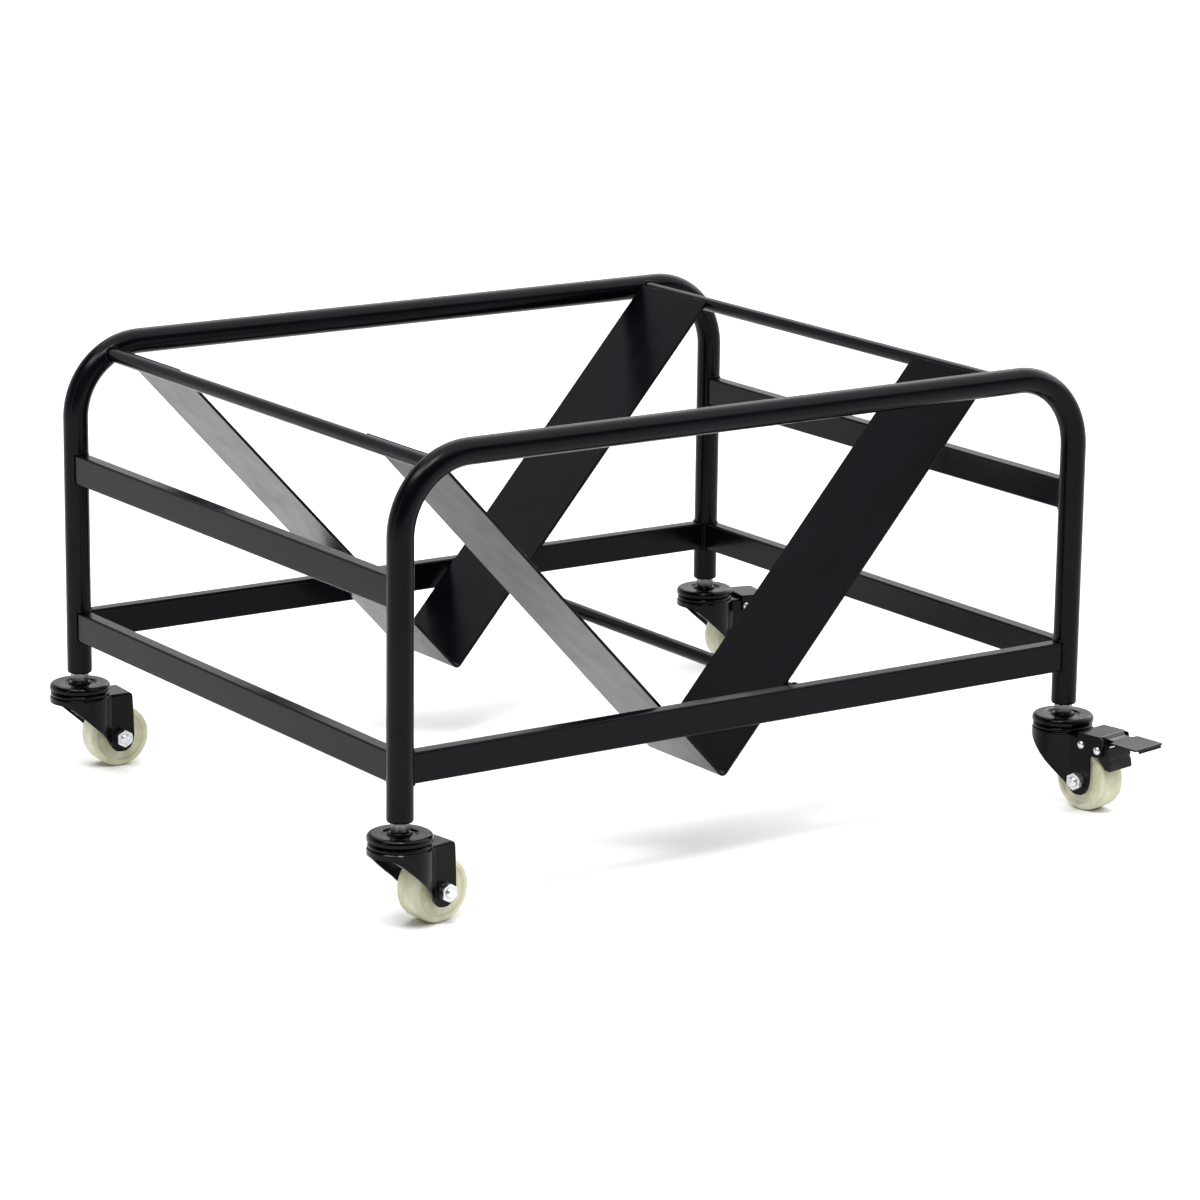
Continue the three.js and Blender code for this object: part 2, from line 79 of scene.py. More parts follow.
# castor sizes: x runs along the trail from the swivel axis, y across, z up from the floor
WHEEL_R = 31.75 * MM
AXLE = (38 * MM, 0, WHEEL_R)
AXLE_R = 5 * MM
NUT_FLATS = 16 * MM
NUT_DEPTH = 8 * MM
HEAD_DEPTH = 6.4 * MM
CROWN_R = 31 * MM
CROWN_TOP = 78 * MM
RACE_TOP = 91 * MM
STEM_HOLE = 5.3 * MM
CHEEK = 18.7 * MM  # outer side of a fork cheek
FLANGE_OUTER = 21.2 * MM
FLANGE_INNER = 19.2 * MM
BLOCK_HALF = 17.5 * MM
PIVOT = (42 * MM, 70 * MM)
BLOCK_PIN = (62.7 * MM, 68 * MM)
PIN_HOLE = 2.7 * MM

CORNERS = ("near_left", "near_right", "far_left", "far_right")
SIDES = ((-1, "a"), (1, "b"))
JOINTS = {joint["name"]: joint for joint in frame["joints"]}


def centre(node):
    low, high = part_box(node)
    return (low + high) / 2


def new_object(name, data):
    """An object with this data, linked to the scene."""
    item = bpy.data.objects.new(name, data)
    bpy.context.scene.collection.objects.link(item)
    return item


# ------------------------------------------------------------------ materials


def new_material(name, **values):
    """A material with its even values set straight on the shader.

    Returns (material, nodes, links, shader).
    """
    material = bpy.data.materials.new(name)
    material.use_nodes = True
    tree = material.node_tree
    shader = tree.nodes["Principled BSDF"]
    for socket, value in values.items():
        shader.inputs[socket.replace("_", " ")].default_value = value
    return material, tree.nodes, tree.links, shader


def noise(nodes, links, scale, detail=2.0, roughness=0.5):
    """Factor of a noise texture on object coordinates, so the grain has one size on every piece."""
    place = nodes.new("ShaderNodeTexCoord")
    texture = nodes.new("ShaderNodeTexNoise")
    texture.inputs["Scale"].default_value = scale
    texture.inputs["Detail"].default_value = detail
    texture.inputs["Roughness"].default_value = roughness
    links.new(place.outputs["Object"], texture.inputs["Vector"])
    return texture.outputs["Fac"]


def ramp(nodes, links, source, stops):
    """A colour ramp fed by a texture's factor."""
    node = nodes.new("ShaderNodeValToRGB")
    elements = node.color_ramp.elements
    while len(elements) < len(stops):
        elements.new(0.5)
    for element, (position, colour) in zip(elements, stops):
        element.position = position
        element.color = (*colour, 1)
    links.new(source, node.inputs["Fac"])
    return node.outputs["Color"]


def clouds(nodes, links, shader, factor, stops):
    """Base colour that drifts between the stops with a factor."""
    links.new(ramp(nodes, links, factor, stops), shader.inputs["Base Color"])


def gloss(nodes, links, shader, source, low, high):
    """Roughness that follows a factor between two values."""
    node = nodes.new("ShaderNodeMapRange")
    node.inputs["From Min"].default_value = 0.3
    node.inputs["From Max"].default_value = 0.7
    node.inputs["To Min"].default_value = low
    node.inputs["To Max"].default_value = high
    links.new(source, node.inputs["Value"])
    links.new(node.outputs["Result"], shader.inputs["Roughness"])


def bump(nodes, links, shader, source, strength, distance, chain=None):
    """Fine relief, laid over an earlier bump if there is one. Returns its normal."""
    node = nodes.new("ShaderNodeBump")
    node.inputs["Strength"].default_value = strength
    node.inputs["Distance"].default_value = distance
    links.new(source, node.inputs["Height"])
    if chain is not None:
        links.new(chain, node.inputs["Normal"])
    links.new(node.outputs["Normal"], shader.inputs["Normal"])
    return node.outputs["Normal"]


def black_paint(name, dark, light, rough, peel, shine):
    """Black coating with orange peel, drifting tone and uneven gloss."""
    material, nodes, links, shader = new_material(name, Metallic=0.0, IOR=1.5, Specular_IOR_Level=shine)
    clouds(nodes, links, shader, noise(nodes, links, 9, 4), [(0.35, dark), (0.7, light)])
    gloss(nodes, links, shader, noise(nodes, links, 35, 3), *rough)
    wave = bump(nodes, links, shader, noise(nodes, links, 900, 1), peel, 0.0001)
    bump(nodes, links, shader, noise(nodes, links, 60, 2), 0.08, 0.0003, wave)
    return material


def plated(name, dark, light):
    """Plated steel with cloudy brightness and uneven polish."""
    material, nodes, links, shader = new_material(name, Metallic=1.0)
    drift = noise(nodes, links, 300, 4)
    clouds(nodes, links, shader, drift, [(0.3, dark), (0.7, light)])
    gloss(nodes, links, shader, drift, 0.2, 0.4)
    bump(nodes, links, shader, noise(nodes, links, 2500, 2), 0.1, 0.0001)
    return material


def cream_nylon():
    """Slightly translucent cast nylon with faint yellow clouding."""
    material, nodes, links, shader = new_material(
        "cream_nylon", Metallic=0.0, IOR=1.53, Subsurface_Weight=0.25, Subsurface_Scale=0.004
    )
    shader.inputs["Subsurface Radius"].default_value = (1.0, 0.85, 0.5)
    stops = [(0.3, (0.46, 0.45, 0.29)), (0.5, (0.55, 0.54, 0.38)), (0.72, (0.63, 0.62, 0.47))]
    clouds(nodes, links, shader, noise(nodes, links, 70, 4), stops)
    gloss(nodes, links, shader, noise(nodes, links, 160, 3), 0.3, 0.46)
    bump(nodes, links, shader, noise(nodes, links, 700, 2), 0.1, 0.0002)
    return material


def brake_plastic():
    """Dull black moulded plastic."""
    material, nodes, links, shader = new_material(
        "brake_plastic", Metallic=0.0, IOR=1.46, Specular_IOR_Level=0.2
    )
    drift = noise(nodes, links, 120, 3)
    clouds(nodes, links, shader, drift, [(0.3, (0.002,) * 3), (0.7, (0.005,) * 3)])
    gloss(nodes, links, shader, drift, 0.45, 0.62)
    bump(nodes, links, shader, noise(nodes, links, 1500, 2), 0.25, 0.0002)
    return material


MATERIALS = {
    "paint": black_paint(
        "powder_coat",
        dark=(0.0011, 0.0011, 0.002),
        light=(0.0022, 0.0022, 0.0036),
        rough=(0.18, 0.27),
        peel=0.1,
        shine=0.085,
    ),
    "enamel": black_paint(
        "castor_enamel",
        dark=(0.001, 0.001, 0.0014),
        light=(0.002, 0.002, 0.0026),
        rough=(0.12, 0.2),
        peel=0.08,
        shine=0.11,
    ),
    "zinc": plated("zinc_plate", (0.46, 0.47, 0.49), (0.74, 0.75, 0.76)),
    # A darker copy of the zinc plate with the same polish: painted shade for the stem nut and kingpin,
    # which sit in the shade under each leg.
    "shaded_zinc": plated("shaded_zinc", (0.09, 0.09, 0.095), (0.2, 0.2, 0.21)),
    "nylon": cream_nylon(),
    "plastic": brake_plastic(),
}

# ------------------------------------------------------------------ mesh building


def loft(bm, rings):
    """Skins rings of points, with a face on each end."""
    grid = [[bm.verts.new(point) for point in ring] for ring in rings]
    count = len(grid[0])
    for one, two in zip(grid, grid[1:]):
        for i in range(count):
            j = (i + 1) % count
            bm.faces.new((one[i], one[j], two[j], two[i]))
    bm.faces.new(list(reversed(grid[0])))
    bm.faces.new(grid[-1])


def finish_mesh(name, bm, material, smooth=35, bevel=0.0, place=None):
    """Turns a bmesh into an object with rounded edges, clean shading and a material."""
    bmesh.ops.recalc_face_normals(bm, faces=bm.faces)
    if bevel:
        sharp = [e for e in bm.edges if e.is_manifold and e.calc_face_angle(0) > math.radians(32)]
        bmesh.ops.bevel(
            bm, geom=sharp, offset=bevel, segments=2, profile=0.5, affect="EDGES", clamp_overlap=True
        )
    mesh = bpy.data.meshes.new(name)
    bm.to_mesh(mesh)
    bm.free()
    if place is not None:
        mesh.transform(place)
    mesh.shade_smooth()
    mesh.set_sharp_from_angle(angle=math.radians(smooth))
    piece = new_object(name, mesh)
    weighted = piece.modifiers.new("weighted", "WEIGHTED_NORMAL")
    weighted.keep_sharp = True
    mesh.materials.append(MATERIALS[material])
    return piece


def settle(piece, body, *nodes):
    """The piece rides on a body and stands for these CAD nodes."""
    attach(piece, body)
    if nodes:
        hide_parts(*nodes)
    return piece


def arc(cx, cy, radius, start, end, steps):
    """Points on a circular arc, angles in degrees."""
    points = []
    for i in range(steps + 1):
        angle = math.radians(start + (end - start) * i / steps)
        points.append((cx + radius * math.cos(angle), cy + radius * math.sin(angle)))
    return points


def circle(radius, sides):
    turns = [2 * math.pi * i / sides for i in range(sides)]
    return [(radius * math.cos(turn), radius * math.sin(turn)) for turn in turns]


def rounded_rectangle(width, height, radius, steps=4):
    """Outline about the origin, with this many steps round each corner."""
    w, h = width / 2 - radius, height / 2 - radius
    return (
        arc(w, h, radius, 0, 90, steps)
        + arc(-w, h, radius, 90, 180, steps)
        + arc(-w, -h, radius, 180, 270, steps)
        + arc(w, -h, radius, 270, 360, steps)
    )


def prism(outline, low, high):
    """A bmesh of an outline of (x, z) points pushed along Y."""
    bm = bmesh.new()
    loft(bm, [[(x, y, z) for x, z in outline] for y in (low, high)])
    return bm


def turned(outline, sides, along="z", at=(0, 0, 0)):
    """A bmesh turned from (radius, place) points about Z or Y. It closes on itself or on the axis."""
    bm = bmesh.new()
    rings = []
    for radius, place in outline:
        if radius < 1e-9:
            rings.append([bm.verts.new(axis_point(0, 0, place, along, at))])
            continue
        rings.append([bm.verts.new(axis_point(a, b, place, along, at)) for a, b in circle(radius, sides)])
    count = len(rings)
    on_axis = len(rings[0]) == 1 and len(rings[-1]) == 1
    for k in range(count - 1 if on_axis else count):
        one, two = rings[k], rings[(k + 1) % count]
        for i in range(sides):
            j = (i + 1) % sides
            corners = (one[i % len(one)], one[j % len(one)], two[j % len(two)], two[i % len(two)])
            face = list(dict.fromkeys(corners))
            if len(face) > 2:
                bm.faces.new(face)
    return bm


def axis_point(a, b, place, along, at):
    """Point at (a, b) off a Z or Y axis through a place, this far along it."""
    if along == "z":
        return (at[0] + a, at[1] + b, at[2] + place)
    return (at[0] + a, at[1] + place, at[2] + b)


def soften(outline, amount):
    """Rounds each corner of a closed outline of (x, z) points."""
    rounded = []
    steps = 3
    count = len(outline)
    for i in range(count):
        before, here, after = (Vector(outline[(i + k) % count]) for k in (-1, 0, 1))
        to_before, to_after = before - here, after - here
        cut = min(amount, to_before.length * 0.45, to_after.length * 0.45)
        start = here + to_before.normalized() * cut
        end = here + to_after.normalized() * cut
        for k in range(steps + 1):
            t = k / steps
            rounded.append(tuple(start * (1 - t) ** 2 + here * 2 * t * (1 - t) + end * t**2))
    return rounded


def combine(bm, other, operation):
    """Boolean of two bmeshes, as a new bmesh."""
    objects = []
    for part in (bm, other):
        bmesh.ops.recalc_face_normals(part, faces=part.faces)
        mesh = bpy.data.meshes.new("scratch")
        part.to_mesh(mesh)
        part.free()
        objects.append(new_object("scratch", mesh))
    cut = objects[0].modifiers.new("cut", "BOOLEAN")
    cut.operation = operation
    cut.solver = "EXACT"
    cut.object = objects[1]
    graph = bpy.context.evaluated_depsgraph_get()
    result = bmesh.new()
    result.from_object(objects[0], graph)
    for scratch in objects:
        mesh = scratch.data
        bpy.data.objects.remove(scratch)
        bpy.data.meshes.remove(mesh)
    bmesh.ops.remove_doubles(result, verts=result.verts, dist=1e-6)
    bmesh.ops.dissolve_limit(result, angle_limit=math.radians(1), verts=result.verts, edges=result.edges)
    return result


def bore(radius, reach, along, at):
    """A plain cylinder, as a cutter or a shank, reaching both ways from its middle."""
    return turned([(0, -reach), (radius, -reach), (radius, reach), (0, reach)], 28, along, at)


def bead(name, path, radius):
    """A weld bead along a path of points on the frame: a rippled strand of small overlapping waves."""
    points = [Vector(p) for p in path]
    count = len(points)
    rings = []
    for i, point in enumerate(points):
        before = points[max(i - 1, 0)]
        after = points[min(i + 1, count - 1)]
        tangent = (after - before).normalized()
        side = tangent.orthogonal().normalized()
        up = tangent.cross(side)
        swell = radius * (1 + 0.16 * math.sin(i * 2.1) + 0.08 * math.sin(i * 0.73))
        if i in (0, count - 1):
            swell *= 0.35
        rings.append([point + side * a * swell + up * b * swell for a, b in circle(1, 8)])
    # each ring starts at its point nearest to the last ring's start, so the strand isn't twisted
    aligned = [rings[0]]
    for ring in rings[1:]:
        last = aligned[-1][0]
        first = min(range(8), key=lambda k: (ring[k] - last).length)
        aligned.append(ring[first:] + ring[:first])
    bm = bmesh.new()
    loft(bm, aligned)
    return settle(finish_mesh(name, bm, "paint", smooth=60), "frame")


# ------------------------------------------------------------------ hoops

NEAR, FAR = centre("near_hoop"), centre("far_hoop")
TUBE = (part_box("near_hoop")[1].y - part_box("near_hoop")[0].y) / 2
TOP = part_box("near_hoop")[1].z - TUBE
LEGS = {name: centre(f"stem_{name}") for name in CORNERS}
LEFT, RIGHT = LEGS["near_left"].x, LEGS["near_right"].x
LEG_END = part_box("leg_insert_near_left")[0].z


def hoop_stations(y):
    """(point, tangent) from the left leg's end over the top to the right leg's end."""
    stations = [(Vector((LEFT, y, LEG_END)), Vector((0, 0, 1)))]
    for cx, start in ((LEFT + BEND, 180), (RIGHT - BEND, 90)):
        for i in range(25):
            angle = math.radians(start - 90 * i / 24)
            out = Vector((math.cos(angle), 0, math.sin(angle)))
            stations.append((Vector((cx, y, TOP - BEND)) + out * BEND, Vector((out.z, 0, -out.x))))
    stations.append((Vector((RIGHT, y, LEG_END)), Vector((0, 0, -1))))
    return stations


def hoop(name, y):
    """Round tube with rolled leg ends; each end shows the face of its threaded bush."""
    stations = hoop_stations(y)
    # (share of the radius, height above the leg's end)
    end = [(1.0, 2.2 * MM), (0.985, 1.2 * MM), (0.94, 0.4 * MM)]
    end += [(0.86, 0.0), (0.8, 0.5 * MM), (0.45, 0.5 * MM)]
    rings = []

    def ring(point, tangent, scale):
        across = Vector((0, 1, 0))
        up = tangent.cross(across)
        rings.append([point + (across * a + up * b) * scale for a, b in circle(TUBE, 48)])

    for scale, inset in reversed(end):
        ring(stations[0][0] + Vector((0, 0, inset)), stations[0][1], scale)
    for point, tangent in stations[1:-1]:
        ring(point, tangent, 1.0)
    for scale, inset in end:
        ring(stations[-1][0] + Vector((0, 0, inset)), stations[-1][1], scale)
    bm = bmesh.new()
    loft(bm, rings)
    return finish_mesh(name, bm, "paint", smooth=50)


def hoop_surface(x, z, side):
    """Y of a hoop's inner side at a point (x, z) near its tube axis."""
    inboard = min(x - LEFT, RIGHT - x)
    if inboard > BEND:
        off = z - TOP
    else:
        off = math.hypot(inboard - BEND, z - (TOP - BEND)) - BEND
    y = NEAR.y if side < 0 else FAR.y
    return y - side * math.sqrt(max(TUBE**2 - off**2, 0))


settle(hoop("hoop_near", NEAR.y), "frame", "near_hoop", "leg_insert_near_left", "leg_insert_near_right")
settle(hoop("hoop_far", FAR.y), "frame", "far_hoop", "leg_insert_far_left", "leg_insert_far_right")

# ------------------------------------------------------------------ rails and their welds


def coped(offset):
    """How far a piece end at this sideways offset stops from the leg's axis."""
    return math.sqrt(TUBE**2 - offset**2)


def rail(node, name):
    """Rectangular tube, its ends shaped to the round legs, with a weld all round each end."""
    low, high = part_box(node)
    middle = (low + high) / 2
    along_x = high.x - low.x > high.y - low.y
    depth = (high.y - low.y) if along_x else (high.x - low.x)
    section = rounded_rectangle(depth, high.z - low.z, RAIL_CORNER)
    ends = (LEFT, RIGHT) if along_x else (NEAR.y, FAR.y)

    def point(a, b, side, lift=0.0):
        """Point of an end's outline, lifted off the leg by a little for a weld."""
        reach = ends[0] + coped(a) + lift if side < 0 else ends[1] - coped(a) - lift
        if along_x:
            return (reach, middle.y + a, middle.z + b)
        return (middle.x + a, reach, middle.z + b)

    bm = bmesh.new()
    loft(bm, [[point(a, b, side) for a, b in section] for side in (-1, 1)])
    settle(finish_mesh(name, bm, "paint", smooth=50), "frame", node)
    around = rounded_rectangle(depth + 1.2 * MM, high.z - low.z + 1.2 * MM, RAIL_CORNER, 3)
    dense = resample(around, 1.1 * MM)
    for side, word in SIDES:
        loop = [point(a, b, side, 0.2 * MM) for a, b in dense]
        bead(f"weld_{name}_{word}", loop + loop[:1], WELD)


def resample(loop, step):
    """Points at an even step round a closed loop of (a, b) points."""
    points = []
    closed = loop + loop[:1]
    for one, two in zip(closed, closed[1:]):
        length = math.dist(one, two)
        parts = max(1, round(length / step))
        for i in range(parts):
            t = i / parts
            points.append((one[0] + (two[0] - one[0]) * t, one[1] + (two[1] - one[1]) * t))
    return points


for node in (
    "near_lower_rail",
    "far_lower_rail",
    "left_lower_rail",
    "right_lower_rail",
    "left_mid_rail",
    "right_mid_rail",
):
    rail(node, "rail_" + node.replace("_rail", ""))

# ------------------------------------------------------------------ rods


def rod(node, name, end_at):
    """Round rod along Y. end_at(x, z, side) gives where a line of its surface stops."""
    low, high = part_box(node)
    radius = (high.z - low.z) / 2
    middle = (low + high) / 2

    def ring(side, size, count, lift=0.0):
        """Outline of an end, lifted off what it meets by a little for a weld."""
        around = [(middle.x + a, middle.z + b) for a, b in circle(size, count)]
        return [(x, end_at(x, z, side) - side * lift, z) for x, z in around]

    bm = bmesh.new()
    loft(bm, [ring(side, radius, 32) for side in (-1, 1)])
    settle(finish_mesh(name, bm, "paint", smooth=50), "frame", node)
    for side, word in SIDES:
        loop = ring(side, radius + 0.7 * MM, 40, 0.3 * MM)
        bead(f"weld_{name}_{word}", loop + loop[:1], WELD)


def on_lower_rail(x, z, side):
    """Y of a lower rail's flat inner side, the same at every (x, z)."""
    node = "near_lower_rail" if side < 0 else "far_lower_rail"
    low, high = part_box(node)
    return high.y if side < 0 else low.y


rod("left_top_rod", "rod_top_left", hoop_surface)
rod("right_top_rod", "rod_top_right", hoop_surface)
rod("bottom_rod", "rod_bottom", on_lower_rail)

# ------------------------------------------------------------------ V cradles


def seat_line(name):
    """(point on the arm's inner face, direction up the arm, outward normal) from a seat mount."""
    mount = next(m for m in frame["record"]["mounts"] if m["name"] == name)
    normal = Vector(mount["axis"])
    point = Vector(mount["pos_m"])
    along = Vector((-normal.z, 0, normal.x)) if normal.x > 0 else Vector((normal.z, 0, -normal.x))
    return point, along.normalized(), normal


def cradle(node, name, seats):
    """Bent plate: two flat arms joined by a rounded fold, all edges slightly rounded."""
    low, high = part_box(node)
    (pl, dl, nl), (pr, dr, nr) = (seat_line(seat) for seat in seats)
    # where the two inner faces would cross
    cross = dl.x * dr.z - dl.z * dr.x
    t = ((pr.x - pl.x) * dr.z - (pr.z - pl.z) * dr.x) / cross
    inner = pl + dl * t
    half = (math.pi - math.acos(max(-1, min(1, nl.dot(nr))))) / 2
    bisector = (dl + dr).normalized()
    outer = inner - bisector * (PLATE / math.sin(half))
    hub = inner + bisector * (FOLD_RADIUS / math.sin(half))
    reach_left = (outer.x - low.x) / -dl.x
    reach_right = (high.x - outer.x) / dr.x

    def fold(radius):
        """Points round the fold, from the left arm to the right one."""
        start = math.atan2(-nl.z, -nl.x)
        end = math.atan2(-nr.z, -nr.x)
        if end < start:
            end += 2 * math.pi
        angles = [start + (end - start) * i / 10 for i in range(11)]
        return [(hub.x + radius * math.cos(a), hub.z + radius * math.sin(a)) for a in angles]

    def arm(direction, normal, reach, lift):
        """Point at the end of an arm, this far in from its outer face."""
        point = outer + direction * reach + normal * lift
        return (point.x, point.z)

    outline = [arm(dl, nl, reach_left, 0)]
    outline += fold(FOLD_RADIUS + PLATE)
    outline += [arm(dr, nr, reach_right, 0), arm(dr, nr, reach_right, PLATE)]
    outline += list(reversed(fold(FOLD_RADIUS)))
    outline += [arm(dl, nl, reach_left, PLATE)]
    bm = prism(outline, low.y, high.y)
    return settle(finish_mesh(name, bm, "paint", smooth=25, bevel=0.5 * MM), "frame", node)


cradle("near_cradle", "cradle_near", ("near_left_seat", "near_right_seat"))
cradle("far_cradle", "cradle_far", ("far_left_seat", "far_right_seat"))


def cradle_welds():
    """Short fillets where each rod lies against the cradle plates."""
    for end in ("near", "far"):
        low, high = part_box(f"{end}_cradle")
        for side, node in (("left", "left_top_rod"), ("right", "right_top_rod"), ("right", "bottom_rod")):
            point, along, normal = seat_line(f"{end}_{side}_seat")
            middle = centre(node)
            radius = (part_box(node)[1].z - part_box(node)[0].z) / 2
            contact = middle + normal * radius
            for k, centre_y in enumerate((low.y + 22 * MM, high.y - 22 * MM)):
                for sign in (-1, 1) if node == "bottom_rod" else (-1,):
                    start = contact + along * (sign * 2.6 * MM) - normal * 0.5 * MM
                    path = [(start.x, centre_y + (i - 9) * 1.2 * MM, start.z) for i in range(19)]
                    word = "l" if sign < 0 else "u"
                    bead(f"weld_{end}_cradle_{node}_{k}{word}", path, 1.6 * MM)


cradle_welds()

# ------------------------------------------------------------------ castor pieces, in castor coordinates


def hex_piece(low, high, along, at):
    """Hexagonal nut or bolt head with its corners chamfered on both faces."""
    corner = NUT_FLATS / math.sqrt(3)
    turns = [math.radians(60 * i + 30) for i in range(6)]
    hexagon = [(corner * math.cos(turn), corner * math.sin(turn)) for turn in turns]
    bm = bmesh.new()
    loft(bm, [[axis_point(a, b, place, along, at) for a, b in hexagon] for place in (low, high)])
    cut = corner - NUT_FLATS / 2 + 0.2 * MM
    cone = [
        (0, low),
        (NUT_FLATS / 2 * 0.97, low),
        (corner + 0.1 * MM, low + cut * 0.55),
        (corner + 0.1 * MM, high - cut * 0.55),
        (NUT_FLATS / 2 * 0.97, high),
        (0, high),
    ]
    return combine(bm, turned(cone, 36, along, at), "INTERSECT")


def upper_race():
    """Turned dome with a sunk ring round a low collar."""
    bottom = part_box("upper_race_near_left")[0].z
    edge = 4.4 * MM
    outline = [(STEM_HOLE, bottom), (28.6 * MM, bottom), (30.2 * MM, bottom + 0.3 * MM)]
    outline += [(CROWN_R, bottom + 1.2 * MM), (CROWN_R, RACE_TOP - edge)]
    outline += arc(CROWN_R - edge, RACE_TOP - edge, edge, 8, 90, 8)
    # (radius, height above the dome's top)
    top = [(23.5, 0.02), (18.6, -0.1), (17.2, -0.7), (16.2, -2.0), (15.2, -2.4), (12.4, -2.4)]
    top += [(11.6, -1.9), (11.0, 0.3), (10.4, 0.9), (9.6, 1.0), (5.3, 1.0)]
    outline += [(radius * MM, RACE_TOP + rise * MM) for radius, rise in top]
    return turned(outline, 72)


def lower_race():
    """Turned ring on the fork's crown."""
    bottom, top = CROWN_TOP + GAP, 82.8 * MM
    outline = [
        (12, bottom),
        (28.6, bottom),
        (29.8, bottom + 0.5 * MM),
        (30.2, bottom + 1.5 * MM),
        (30.0, bottom + 2.6 * MM),
        (29.2, bottom + 3.5 * MM),
        (28.2, top - 0.3 * MM),
        (27.2, top),
        (12, top),
    ]
    return turned([(r * MM, z) for r, z in outline], 72)


# side outline of the fork, (x, z) in millimetres
FORK_SIDE = [
    (-32, 79),
    (-32, 71.5),
    (-24, 71.5),
    (-20, 69),
    (-7, 57.7),
    (11.8, 40.7),
    (20, 31.5),
    (27, 21.5),
    (31, 17.6),
    (36, 16.6),
    (42, 16.9),
    (47, 20),
    (50.3, 25.5),
    (51.6, 33),
    (50.8, 60),
    (50.1, 74),
    (49.2, 76.8),
    (47.6, 78),
    (47.6, 79),
]


def fork_plan(radius, half_width, end, blend):
    """Plan outline of the fork: round front, then two parallel sides, with a soft corner between them."""
    meet = math.degrees(math.asin(half_width / radius))
    start = radius * math.cos(math.radians(meet)) + blend
    front = arc(0, 0, radius, meet, 360 - meet, 44)[1:-1]
    return [(end, half_width), (start, half_width), *front, (start, -half_width), (end, -half_width)]


def fork_body():
    """Pressed fork: crown with rolled upper edge, a wall round its front and two flat cheeks."""
    top, roll, blend = CROWN_TOP / MM, 2.4, 2.0 * MM
    steps = [(0.0, 10), (0.0, top - roll)]
    for angle in (30, 60, 90):
        turn = math.radians(angle)
        steps.append((roll * (1 - math.cos(turn)), top - roll + roll * math.sin(turn)))
    outer = bmesh.new()
    rings = []
    for inset, z in steps:
        plan = fork_plan(CROWN_R - inset * MM, CHEEK - inset * MM, 60 * MM, blend)
        rings.append([(x, y, z * MM) for x, y in plan])
    loft(outer, rings)
    inner = bmesh.new()
    plan = fork_plan(CROWN_R - SHEET, CHEEK - SHEET, 64 * MM, blend)
    loft(inner, [[(x, y, z) for x, y in plan] for z in (5 * MM, CROWN_TOP - SHEET)])
    shell = combine(outer, inner, "DIFFERENCE")
    shell = combine(shell, bore(STEM_HOLE, 10 * MM, "z", (0, 0, CROWN_TOP)), "DIFFERENCE")
    side = [(x * MM, z * MM) for x, z in FORK_SIDE]
    return combine(shell, prism(side, -40 * MM, 40 * MM), "INTERSECT")


def wheel():
    """Solid nylon roller: nearly flat tread with a fine parting line, sunk side faces, a raised hub."""
    half = 15.0
    # (radius, y) in millimetres, from the bore out to the middle of the tread
    side = [
        (5.5, half),
        (11.4, half),
        (12.1, half - 0.25),
        (12.6, half - 0.9),
        (13.2, half - 1.6),
        (14.2, half - 1.8),
        (23.6, half - 1.6),
        (24.8, half - 1.2),
        (25.5, half - 0.45),
        (26.4, half - 0.2),
        (28.6, half - 0.3),
        (30.2, half - 0.9),
        (31.1, half - 2.0),
        (31.55, half - 3.4),
        (31.7, half - 6.0),
        (31.75, 0.5),
        (31.6, 0.15),
    ]
    other = [(r, -y) for r, y in side]
    outline = [(r * MM, y * MM) for r, y in side + other[::-1]]
    return turned(outline, 96, "y", AXLE)


def thread(radius, low, high, pitch, along, at):
    """Threaded rod end: rounded ridges at the thread's pitch."""
    outline = [(0, low), (radius * 0.8, low)]
    place = low + 0.3 * MM
    while place + pitch < high:
        outline += [(radius * 0.86, place), (radius, place + pitch * 0.45), (radius, place + pitch * 0.55)]
        place += pitch
    outline += [(radius * 0.86, place), (radius * 0.86, high), (0, high)]
    return turned(outline, 28, along, at)


def strip(stations, thickness):
    """A bent sheet along (x, z, half width) stations in millimetres."""
    rings = []
    for i, (x, z, half) in enumerate(stations):
        before = Vector(stations[max(i - 1, 0)][:2])
        after = Vector(stations[min(i + 1, len(stations) - 1)][:2])
        tangent = (after - before).normalized()
        normal = Vector((-tangent.y, tangent.x)) * thickness / 2
        corners = [(normal, half), (normal, -half), (-normal, -half), (-normal, half)]
        rings.append([((x + n.x) * MM, w * MM, (z + n.y) * MM) for n, w in corners])
    bm = bmesh.new()
    loft(bm, rings)
    return bm


def pedal_plate():
    """Foot pedal: base between two flanges, a step down to a narrow neck, and a wide flat pad."""
    base = [(36.2, 81.3, 19.0), (38, 81.3, 20.9), (60, 81.3, 20.9), (63.5, 81.3, 20.6)]
    step = [(65.2, 81.2, 18.5), (66.6, 80.6, 15.0), (69.4, 79.3, 13.4)]
    neck = [(71, 78.8, 13.0), (76, 78.6, 13.0), (78.6, 78.5, 13.6)]
    pad = [(79.6, 78.5, 20.8), (95, 78.05, 21.2), (110, 77.65, 21.2), (111.9, 77.6, 20.6)]
    return strip(base + step + neck + pad, 2.0)


def pedal_lip():
    """Turned-down lip under the pad's end, narrower than the pad."""
    path = [(109, 77.2), (111.2, 77.2), (112.2, 76.9), (112.7, 76.2), (112.8, 74.5)]
    return strip([(x, z, 16.8) for x, z in path], 1.6)


def pedal_flange(side):
    """Upright side of the pedal, with holes for the pivot and the block's pin."""
    points = [(37.4, 64), (40, 60.6), (65.8, 60.6), (69, 64), (69.3, 76), (68.4, 81.4), (37.4, 81.4)]
    outline = soften([(x * MM, z * MM) for x, z in points], 3 * MM)
    sheet = prism(outline, *sorted((side * FLANGE_INNER, side * (FLANGE_OUTER - 0.02 * MM))))
    for x, z in (PIVOT, BLOCK_PIN):
        sheet = combine(sheet, bore(PIN_HOLE, 30 * MM, "y", (x, 0, z)), "DIFFERENCE")
    return sheet


